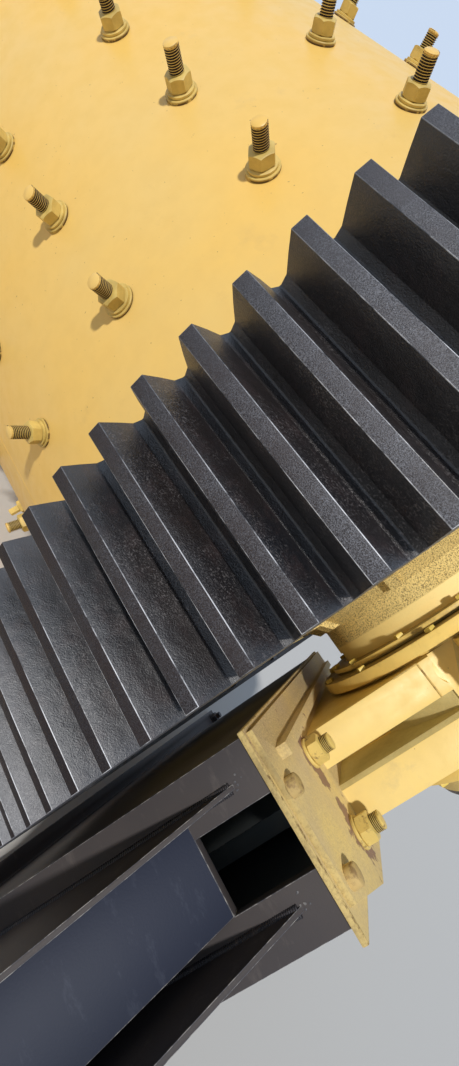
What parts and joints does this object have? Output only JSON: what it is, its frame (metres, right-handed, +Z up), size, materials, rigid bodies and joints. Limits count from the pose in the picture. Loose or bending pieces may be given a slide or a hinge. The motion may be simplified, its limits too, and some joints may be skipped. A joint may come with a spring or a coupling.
{
  "type": "ball mill",
  "caption": "Trunnion-supported ball mill: a yellow drum with a black girth gear turns in plain bearings on black raked pedestals.",
  "frame": {"origin": "on the floor, midway between the two bearings, at the centre of the base", "axes": "+X along the drum towards the geared discharge end, +Y to the back, +Z up"},
  "size_m": [4.186, 2.369, 2.264],
  "materials": {
    "yellow_shell_paint": "warm yellow gloss, lightly speckled",
    "yellow_cast_paint": "yellow paint over rough sand casting",
    "yellow_ring_paint": "yellow paint on machined rings",
    "yellow_bearing_paint": "yellow paint, rust at bolts",
    "black_gear_paint": "blue-black semi-gloss paint",
    "black_frame_paint": "blue-black satin paint",
    "worn_liner_steel": "worn steel",
    "bearing_metal": "bearing white metal"
  },
  "bodies": {
    "pedestals_and_bearings": {"discharge_bearing_bush": "bearing_metal", "discharge_bearing_cap": "yellow_bearing_paint", "discharge_bearing_housing": "yellow_bearing_paint", "discharge_inboard_cover_ring": "yellow_ring_paint", "discharge_inboard_seal_ring": "yellow_ring_paint", "discharge_outboard_cover_ring": "yellow_ring_paint", "discharge_outboard_seal_ring": "yellow_ring_paint", "discharge_pedestal_back_panel": "black_frame_paint", "discharge_pedestal_foot_plate": "black_frame_paint", "discharge_pedestal_front_panel": "black_frame_paint", "discharge_pedestal_gussets": "black_frame_paint", "discharge_pedestal_raking_covers": "black_frame_paint", "discharge_pedestal_webs": "black_frame_paint", "discharge_sole_plate": "yellow_bearing_paint", "feed_bearing_bush": "bearing_metal", "feed_bearing_cap": "yellow_bearing_paint", "feed_bearing_housing": "yellow_bearing_paint", "feed_inboard_cover_ring": "yellow_ring_paint", "feed_inboard_seal_ring": "yellow_ring_paint", "feed_outboard_cover_ring": "yellow_ring_paint", "feed_outboard_seal_ring": "yellow_ring_paint", "feed_pedestal_back_panel": "black_frame_paint", "feed_pedestal_foot_plate": "black_frame_paint", "feed_pedestal_front_panel": "black_frame_paint", "feed_pedestal_gussets": "black_frame_paint", "feed_pedestal_raking_covers": "black_frame_paint", "feed_pedestal_webs": "black_frame_paint", "feed_sole_plate": "yellow_bearing_paint"},
    "drum": {"shell": "yellow_shell_paint", "shell_liners": "worn_liner_steel", "manhole_frame": "yellow_shell_paint", "manhole_cover": "yellow_shell_paint", "girth_gear_front_half": "black_gear_paint", "girth_gear_back_half": "black_gear_paint", "discharge_head": "yellow_cast_paint", "feed_head": "yellow_cast_paint", "discharge_trunnion": "yellow_cast_paint", "feed_trunnion": "yellow_cast_paint", "discharge_shell_flange": "yellow_shell_paint", "feed_shell_flange": "yellow_shell_paint", "discharge_throat_liner": "worn_liner_steel", "feed_throat_liner": "worn_liner_steel"}
  },
  "joints": [
    {"name": "drum_rotation", "type": "hinge", "parent": "pedestals_and_bearings", "child": "drum", "pos_m": [0, 0, 1.2], "axis": [1, 0, 0], "continuous": true}
  ]
}
